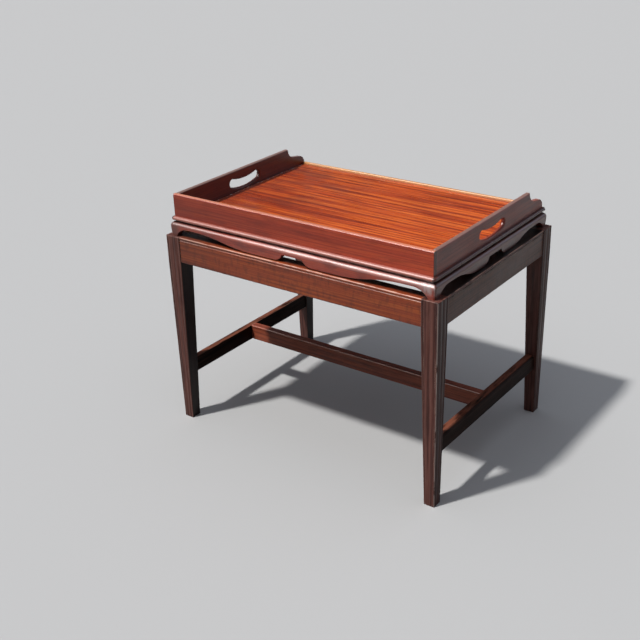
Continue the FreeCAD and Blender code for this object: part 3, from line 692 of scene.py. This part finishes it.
sign = add(tree, "ShaderNodeVectorMath", {0: own}, operation="SIGN")
to_corner = add(tree, "ShaderNodeVectorMath", {0: sign, 1: (DIAGONAL, DIAGONAL, 0)}, operation="MULTIPLY")
lean = add(tree, "ShaderNodeVectorMath", {0: to_corner, 1: facing}, out="Value", operation="DOT_PRODUCT")
reach = add(tree, "ShaderNodeVectorMath", {0: to_corner, 1: own}, out="Value", operation="DOT_PRODUCT")
arris = add(tree, "ShaderNodeMapRange", {"Value": lean, "From Min": ARRIS_LEAN[0],
                                         "From Max": ARRIS_LEAN[1], "To Max": ARRIS_MOST})
near_corner = add(tree, "ShaderNodeMapRange", {"Value": reach, "From Min": corner_reach - ARRIS_DEPTH[0],
                                               "From Max": corner_reach - ARRIS_DEPTH[1]})
stretches = marks(legs, "Z", long_mm=40, wide_mm=10, low=0.36, high=0.54)
lay_over(legs, PALE_WOOD, arris, near_corner, stretches)
print("from the middle to a corner in mm:", round(corner_reach / MM, 1))

# %% [markdown]
# ## Marks of use on the stretchers and rails
# The end stretchers are painted lighter along their top, a painted sunlit top. The tray is set down on the
# stand and lifted off again, and that has rubbed a broken pale line along the outer top edge of the front
# rail and of the right one. Behind that line, and all over the tops of the other two, a painted shadow of
# the tray makes them almost black. The long rails are darker towards their left end too. Places are in
# millimetres, from the boxes of the boards.

# %% Painted light on the tops of the end stretchers
PAINTED_BAR_TOP_LIGHT = "8E5440"

end_bars = leg_wood["Y"]
bar_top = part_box("stretcher_left")[1][2] / MM
lit_patches = marks(end_bars, "Y", long_mm=60, wide_mm=9, low=0.3, high=0.6, top=0.8)
# painted light: the tops of the end stretchers lighter, in broken patches
lay_over(end_bars, PAINTED_BAR_TOP_LIGHT, fade(end_bars, "Z", bar_top - 2, bar_top - 0.5), lit_patches)
print("stretcher top in mm:", round(bar_top, 1))

# %% Rubbed edges, and a painted shadow on the tops of the rails
RUBBED_EDGE = "CC947A"
PAINTED_TRAY_SHADOW = "1C0E0A"

rail_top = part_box("rail_front")[1][2] / MM
rail_front_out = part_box("rail_front")[0][1] / MM
rail_right_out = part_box("rail_right")[1][0] / MM
# by grain: the axis across the rail, where its outside is, and how far in from there light reaches its top
rail_outside = {"X": ("Y", rail_front_out, 8), "Y": ("X", rail_right_out, 1.5)}
for grain, (out_axis, outside, lit) in rail_outside.items():
    rails = rail_wood[grain]
    way = math.copysign(1, outside)
    near_edge = fade(rails, out_axis, outside - 3.5 * way, outside - 1.5 * way)
    near_top = fade(rails, "Z", rail_top - 2.5, rail_top - 1)
    broken = marks(rails, grain, long_mm=20, wide_mm=9, low=0.36, high=0.58, top=0.75)
    lay_over(rails, RUBBED_EDGE, near_edge, near_top, broken)
    behind_edge = fade(rails, out_axis, outside - lit * way, outside - 2 * lit * way)
    # painted shadow of the tray: the top behind the lit outer edge almost black
    lay_over(rails, PAINTED_TRAY_SHADOW, behind_edge, fade(rails, "Z", rail_top - 0.6, rail_top - 0.1))
print("rail top in mm:", round(rail_top, 1))

# %% Dark left end, and painted shade on the tops of the end rails
LEFT_STAIN = "2E140E"
PAINTED_END_RAIL_TOP_SHADE = "140A08"

tray_end = apron_half[0] / MM
long_rails = rail_wood["X"]
short_rails = rail_wood["Y"]
lay_over(long_rails, LEFT_STAIN, fade(long_rails, "X", -0.36 * tray_end, -tray_end, top=0.4))
# painted shade: the tops of the end rails darker still
lay_over(short_rails, PAINTED_END_RAIL_TOP_SHADE, fade(short_rails, "Z", rail_top - 0.6, rail_top - 0.1, top=0.85))
print("end of the tray in mm:", round(tray_end, 1))

# %% [markdown]
# ## Marks of use on the upright boards
# Hands have paled the top edges of the boards, and the left end of the front board has kept more of its
# stain. The left board is painted darker, a painted shade. The two ends of the front board are end grain,
# which drinks stain and goes dark. Each mark is a fade at a place that is worked out from the boxes of the
# solids, so that it follows them.

# %% Marks on the upright boards
front = board_wood["X"]
ends = board_wood["Y"]
board_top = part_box("gallery_front")[1][2] / MM
board_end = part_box("gallery_front")[1][0] / MM
left_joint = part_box("gallery_left")[1][0] / MM
KEPT_STAIN = "6A1E14"
HAND_PALE = "E4987A"
END_GRAIN = "34180F"
LEFT_BOARD_SHADE = "2E0E0A"
END_PALE = "94766C"

lay_over(front, KEPT_STAIN, fade(front, "X", 0.18 * tray_end, -tray_end, top=0.45))
lay_over(front, HAND_PALE, fade(front, "Z", board_top - 1.2, board_top - 0.2, top=0.7))
for way in (-1, 1):
    lay_over(front, END_GRAIN, fade(front, "X", way * (board_end - 1.2), way * (board_end - 0.5), top=0.8))
# painted shade: the left board darker
lay_over(ends, LEFT_BOARD_SHADE, fade(ends, "X", 0, left_joint, top=0.68))
lay_over(ends, END_PALE, fade(ends, "Z", board_top - 2, board_top - 0.6, top=0.8))
print("board top in mm:", round(board_top, 1))

# %% [markdown]
# ## Marks of use on the aprons
# On the long aprons the shoulder is darker to the left, a painted shade, and carries a broad pale painted
# highlight to the right. Their left foot has gone brown, and on the right one a pale grey painted
# reflection lies on the lacquer.

# %% Marks on the long aprons
apron = apron_wood["X"]
apron_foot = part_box("apron_front")[0][2] / MM
apron_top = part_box("apron_front")[1][2] / MM
BROWN_FOOT = "4A2A20"
SHOULDER_LEFT_SHADE = "5A2A22"
PAINTED_SHOULDER_SHEEN = "D8B0A8"
PAINTED_FOOT_SHEEN = "C8BCB8"

lay_over(apron, BROWN_FOOT, fade(apron, "X", 37 - tray_end, 15 - tray_end, top=0.75))
shoulder = fade(apron, "Z", apron_top - 11.5, apron_top - 4.5)
# painted shade: the shoulder darker to the left, where its highlight fades
lay_over(apron, SHOULDER_LEFT_SHADE, shoulder, fade(apron, "X", -0.36 * tray_end, -0.78 * tray_end, top=0.6))
sheen_patches = marks(apron, "X", long_mm=90, wide_mm=12, low=0.25, high=0.6, top=0.55)
# painted highlight: a broad pale sheen along the shoulder, towards the right
lay_over(apron, PAINTED_SHOULDER_SHEEN, shoulder, fade(apron, "X", -0.6 * tray_end, 0.18 * tray_end), sheen_patches)
right_foot = fade(apron, "X", tray_end - 43, tray_end - 21)
sheen_runs = marks(apron, "Z", long_mm=22, wide_mm=6, low=0.3, high=0.6, top=0.7)
# painted reflection: a pale grey sheen on the lacquer of the right foot
lay_over(apron, PAINTED_FOOT_SHEEN, right_foot, fade(apron, "Z", apron_foot + 3, apron_foot + 19), sheen_runs)
print("apron from", round(apron_foot, 1), "to", round(apron_top, 1), "mm")

# %% [markdown]
# ## Marks of use on the floor
# The floor is darker and hazier to the left, partly its own tone and partly a painted reflection of the
# left board, and dust lies in its joint with the left board. Its rounded rim took the stain of the boards
# above it; along the front and back it is paled by a painted highlight, and at the ends it is darker, a
# painted shade.

# %% Marks on the floor
bottom = floor_wood["X"]
board_out = -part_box("gallery_front")[0][1] / MM
LEFT_TONE_AND_REFLECTION = "7E2A1C"
DULL_PATCH = "6E3428"
DUST = "E8DCD2"

# darker to the left: the floor's own tone, and a painted reflection of the left board
lay_over(bottom, LEFT_TONE_AND_REFLECTION, fade(bottom, "X", -0.18 * tray_end, -0.9 * tray_end, top=0.35))
patches = marks(bottom, "X", long_mm=110, wide_mm=55, low=0.4, high=0.65, top=0.5)
lay_over(bottom, DULL_PATCH, fade(bottom, "X", 0.06 * tray_end, -0.6 * tray_end), patches)
crumbs = marks(bottom, "Y", long_mm=9, wide_mm=3, low=0.54, high=0.6, top=0.9)
lay_over(bottom, DUST, fade(bottom, "X", left_joint + 5, left_joint + 3), crumbs)

# by axis: where the boards' outsides are, and the colour of the rim beyond them:
# along the front and back a stain paled by a painted highlight, at the ends a painted shade
rim = {"Y": (board_out, "AA6A5E"), "X": (board_end, "4A2620")}
for axis, (inside, stain) in rim.items():
    for way in (-1, 1):
        lay_over(bottom, stain, fade(bottom, axis, way * (inside - 0.5), way * (inside + 0.2), top=0.95))
print("rim starts at mm:", round(board_end, 1), round(board_out, 1))

# %% [markdown]
# ## Hidden hardwood and screws
# Inside the tray, where nobody looks, the cross battens, the blocks behind the feet and the dowels are
# bare planed hardwood: no stain, no lacquer, so it is pale, matt and evenly coloured. The recipe for
# boards does for it, with hardly any gloss. The screws are dull steel that was turned on a lathe, and a
# little rust sits on them. Rust is no metal, so it is taken off what makes the steel metallic.

# %% Bare hardwood
# planed and left bare: no shine at all
bare_looks = dict(dark="A6774A", middle="B48556", light="C29668", stained="8A5C34", worn_and_highlit="CDA67C",
                  ribbon_mm=9, streaks=0.3, patch_mm=(90, 30), stain=0.2, wear=0.2, gloss=0.62,
                  specular=0.3, coat=0)
bare_wood = {grain: wood_finish("hardwood, planed and left bare", grain, **bare_looks) for grain in "YZ"}
print("finishes of the hidden wood:", len(bare_wood))

# %% Dull steel
# turned and gone dull: a grey mirror blurred by handling, and matt brown where rust has started
STEEL_DARK = "8C8984"
STEEL_LIGHT = "A3A09A"
RUST = "6B3A20"
STEEL_ROUGHNESS = 0.38
RUST_ROUGHNESS = 0.8

steel = new_finish("steel, turned and gone dull")
tree = steel.node_tree
shader = tree.nodes["Principled BSDF"]
handled = marks(steel, "Z", long_mm=4, wide_mm=4, low=0.3, high=0.7)
tone = add(tree, "ShaderNodeMix", {0: handled, MIX_FIRST: linear(STEEL_DARK),
                                   MIX_SECOND: linear(STEEL_LIGHT)}, out=MIX_RESULT, data_type="RGBA")
tree.links.new(tone, shader.inputs["Base Color"])
rust = marks(steel, "Z", long_mm=1.2, wide_mm=1.2, low=0.55, high=0.7, top=0.6)
lay_over(steel, RUST, rust)
bare_metal = add(tree, "ShaderNodeMath", {0: 1, 1: rust}, operation="SUBTRACT")
tree.links.new(bare_metal, shader.inputs["Metallic"])
dullness = add(tree, "ShaderNodeMapRange", {"Value": rust, "To Min": STEEL_ROUGHNESS,
                                                "To Max": RUST_ROUGHNESS})
tree.links.new(dullness, shader.inputs["Roughness"])
print("nodes of the steel:", len(tree.nodes))

# %% [markdown]
# ## The boards
# Every board has its own place in the tree, so that no two show the same figure: an offset that its mesh
# carries as an attribute and that the finish adds to its coordinates. One list says for every board which
# body it rides on, the name of its slot, and which wood and grain it has.

# %% List the boards
CORNERS = ("front_left", "front_right", "back_left", "back_right")
# by side: the axis that an apron faces along, and which way
SIDES = {"front": (1, -1), "back": (1, 1), "left": (0, -1), "right": (0, 1)}

# node, body, slot, wood and grain
boards = [(f"leg_{corner}", "stand", "stand_mahogany", leg_wood, "Z") for corner in CORNERS]
for side, (out_axis, out) in SIDES.items():
    grain = "YX"[out_axis]
    boards += [(f"rail_{side}", "stand", "stand_mahogany", rail_wood, grain),
               (f"waist_{side}", "tray", "tray_mahogany", apron_wood, grain),
               (f"apron_{side}", "tray", "tray_mahogany", apron_wood, grain)]
boards += [("stretcher_left", "stand", "stand_mahogany", leg_wood, "Y"),
           ("stretcher_right", "stand", "stand_mahogany", leg_wood, "Y"),
           ("stretcher_center", "stand", "stand_mahogany", leg_wood, "X"),
           ("tray_floor", "tray", "floor_mahogany", floor_wood, "X"),
           ("gallery_front", "tray", "tray_mahogany", board_wood, "X"),
           ("gallery_left", "tray", "tray_mahogany", board_wood, "Y"),
           ("gallery_right", "tray", "tray_mahogany", board_wood, "Y"),
           ("back_lip", "tray", "tray_mahogany", sunlit_lip_wood, "X"),
           ("batten_left", "tray", "plain_hardwood", bare_wood, "Y"),
           ("batten_right", "tray", "plain_hardwood", bare_wood, "Y")]
boards += [(f"foot_block_{corner}", "tray", "plain_hardwood", bare_wood, "Z") for corner in CORNERS]
print("boards:", len(boards))

# %% A piece that stands for a solid


def finished_piece(name, mesh, body, node, finish):
    """An object that stands for a CAD node, with its finish, on its body."""
    mesh.materials.clear()
    mesh.materials.append(finish)
    piece = bpy.data.objects.new(name, mesh)
    scene.collection.objects.link(piece)
    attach(piece, body)
    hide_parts(node)


print("bodies of the boards:", sorted({board[1] for board in boards}))

# %% Ease and finish each board
# from one board's place in the tree to the next one's, in metres
TREE_STEP = (0.73, 1.31, 0.57)

points = 0
for count, (node, body, slot, wood, grain) in enumerate(boards):
    shape = merged_solid(node)
    if node.startswith("apron"):
        round_corners(shape, *SIDES[node.split("_")[1]])
    mark_outward_edges(shape, node)
    mesh = eased_mesh(f"{node}_eased", node, shape)
    in_tree = mesh.attributes.new(PLACE_IN_TREE, "FLOAT_VECTOR", "POINT")
    in_tree.data.foreach_set("vector", [step * count for step in TREE_STEP] * len(mesh.vertices))
    finished_piece(f"{node}_eased", mesh, body, node, wood[grain])
    points += len(mesh.vertices)
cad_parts["gallery_dowels"].material_slots[0].material = bare_wood["Z"]
print("points of the boards:", points)

# %% [markdown]
# ## The screws
# Six round-headed screws hold the battens up to the floor, three to a batten. A screw is turned from rod:
# its head is a dome with one slot sawn across it. Six could be modelled one by one. Here one tree of
# Geometry Nodes makes a screw and sets a copy at each crossing of a grid of two by three, so that a
# change to one is a change to all. Its inputs have names and real sizes, from the boxes of the screws and
# the battens.

# %% Sizes of the screws, and a tree with named inputs
SHANK_WIDE = 4 * MM
HEAD_WIDE = 8 * MM
SLOT_WIDE = 1.1 * MM
low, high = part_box("batten_screws")
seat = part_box("batten_left")[0][2]
screw_inputs = {"Grid Length": high[0] - low[0] - HEAD_WIDE, "Grid Width": high[1] - low[1] - HEAD_WIDE,
                "Seat Height": seat, "Head Radius": HEAD_WIDE / 2, "Head Height": seat - low[2],
                "Shank Radius": SHANK_WIDE / 2, "Shank Length": high[2] - seat, "Slot Width": SLOT_WIDE}

tree = bpy.data.node_groups.new("slotted screws", "GeometryNodeTree")
identifiers = {}
for name in screw_inputs:
    socket = tree.interface.new_socket(name, in_out="INPUT", socket_type="NodeSocketFloat")
    identifiers[name] = socket.identifier
tree.interface.new_socket("Screws", in_out="OUTPUT", socket_type="NodeSocketGeometry")
given = add(tree, "NodeGroupInput").node.outputs
print("inputs of the tree:", ", ".join(identifiers))

# %% [markdown]
# ## A screw's head
# The head is a ball, flattened to the height of the head. A big block takes off its upper half, which
# would stand in the batten, and a thin one saws the slot into what is left, from below.

# %% A dome with a slot
# how many radii of the head the blocks are wide, so that they reach past it
CUTTER_SPAN = 4

flatness = add(tree, "ShaderNodeMath", {0: given["Head Height"], 1: given["Head Radius"]},
               operation="DIVIDE")
flatten = add(tree, "ShaderNodeCombineXYZ", {"X": 1, "Y": 1, "Z": flatness})
ball = add(tree, "GeometryNodeMeshUVSphere", {"Segments": 32, "Rings": 16, "Radius": given["Head Radius"]})
dome = add(tree, "GeometryNodeTransform", {"Geometry": ball, "Scale": flatten})

wide = add(tree, "ShaderNodeMath", {0: given["Head Radius"], 1: CUTTER_SPAN}, operation="MULTIPLY")
upper_size = add(tree, "ShaderNodeCombineXYZ", {"X": wide, "Y": wide, "Z": wide})
upper_cube = add(tree, "GeometryNodeMeshCube", {"Size": upper_size})
upper_rise = add(tree, "ShaderNodeMath", {0: wide, 1: 2}, operation="DIVIDE")
upper_place = add(tree, "ShaderNodeCombineXYZ", {"Z": upper_rise})
upper = add(tree, "GeometryNodeTransform", {"Geometry": upper_cube, "Translation": upper_place})

slot_size = add(tree, "ShaderNodeCombineXYZ", {"X": wide, "Y": given["Slot Width"],
                                               "Z": given["Head Height"]})
slot_cube = add(tree, "GeometryNodeMeshCube", {"Size": slot_size})
slot_drop = add(tree, "ShaderNodeMath", {0: given["Head Height"], 1: -1}, operation="MULTIPLY")
slot_place = add(tree, "ShaderNodeCombineXYZ", {"Z": slot_drop})
slot = add(tree, "GeometryNodeTransform", {"Geometry": slot_cube, "Translation": slot_place})

cutters = add(tree, "GeometryNodeJoinGeometry").node
for cutter in (upper, slot):
    tree.links.new(cutter, cutters.inputs[0])
head = add(tree, "GeometryNodeMeshBoolean", {"Mesh 1": dome, "Mesh 2": cutters.outputs[0]},
           operation="DIFFERENCE")
print("nodes so far:", len(tree.nodes))

# %% [markdown]
# ## Shank and copies
# The shank is a plain rod up into the floor: its thread is hidden in the wood. Each copy is turned by a
# random angle with a fixed seed, because a screwdriver leaves a slot at any angle, and the same one on
# every run.

# %% A shank, and a copy at each crossing of the grid
SCREW_SEED = 6
HALF_TURN = 3.14
# a Random Value node has inputs for every kind of value: these are the ones for a number
RANDOM_LOW = 2
RANDOM_HIGH = 3
RANDOM_RESULT = 1

shank_rod = add(tree, "GeometryNodeMeshCylinder", {"Vertices": 24, "Radius": given["Shank Radius"],
                                                   "Depth": given["Shank Length"]})
shank_rise = add(tree, "ShaderNodeMath", {0: given["Shank Length"], 1: 2}, operation="DIVIDE")
shank_place = add(tree, "ShaderNodeCombineXYZ", {"Z": shank_rise})
shank = add(tree, "GeometryNodeTransform", {"Geometry": shank_rod, "Translation": shank_place})
screw = add(tree, "GeometryNodeJoinGeometry").node
for part in (head, shank):
    tree.links.new(part, screw.inputs[0])

grid = add(tree, "GeometryNodeMeshGrid", {"Size X": given["Grid Length"], "Size Y": given["Grid Width"],
                                          "Vertices X": 2, "Vertices Y": 3})
lift = add(tree, "ShaderNodeCombineXYZ", {"Z": given["Seat Height"]})
places = add(tree, "GeometryNodeTransform", {"Geometry": grid, "Translation": lift})
turned = add(tree, "FunctionNodeRandomValue", {RANDOM_LOW: 0.0, RANDOM_HIGH: HALF_TURN, "Seed": SCREW_SEED},
             out=RANDOM_RESULT, data_type="FLOAT")
slot_turn = add(tree, "ShaderNodeCombineXYZ", {"Z": turned})
screws = add(tree, "GeometryNodeInstanceOnPoints", {"Points": places, "Instance": screw.outputs[0],
                                                    "Rotation": slot_turn})
solid = add(tree, "GeometryNodeRealizeInstances", {"Geometry": screws})
dressed = add(tree, "GeometryNodeSetMaterial", {"Geometry": solid, "Material": steel})
add(tree, "NodeGroupOutput", {"Screws": dressed})
print("nodes of the tree:", len(tree.nodes))

# %% [markdown]
# ## From the tree to a mesh
# A tree makes its shape anew each time that Blender asks for it. The library wants plain meshes, so the
# tree is given its sizes, asked once, and the mesh that it makes is kept without it.

# %% A plain mesh of six screws
holder = bpy.data.objects.new("screw_holder", bpy.data.meshes.new("screw_holder"))
scene.collection.objects.link(holder)
made = holder.modifiers.new("slotted screws", "NODES")
made.node_group = tree
for name, value in screw_inputs.items():
    made[identifiers[name]] = value
mesh = bpy.data.meshes.new_from_object(holder.evaluated_get(bpy.context.evaluated_depsgraph_get()))
mesh.name = "batten_screws_slotted"
bpy.data.objects.remove(holder)
finished_piece("batten_screws_slotted", mesh, "tray", "batten_screws", steel)
print("screw faces:", len(mesh.polygons))
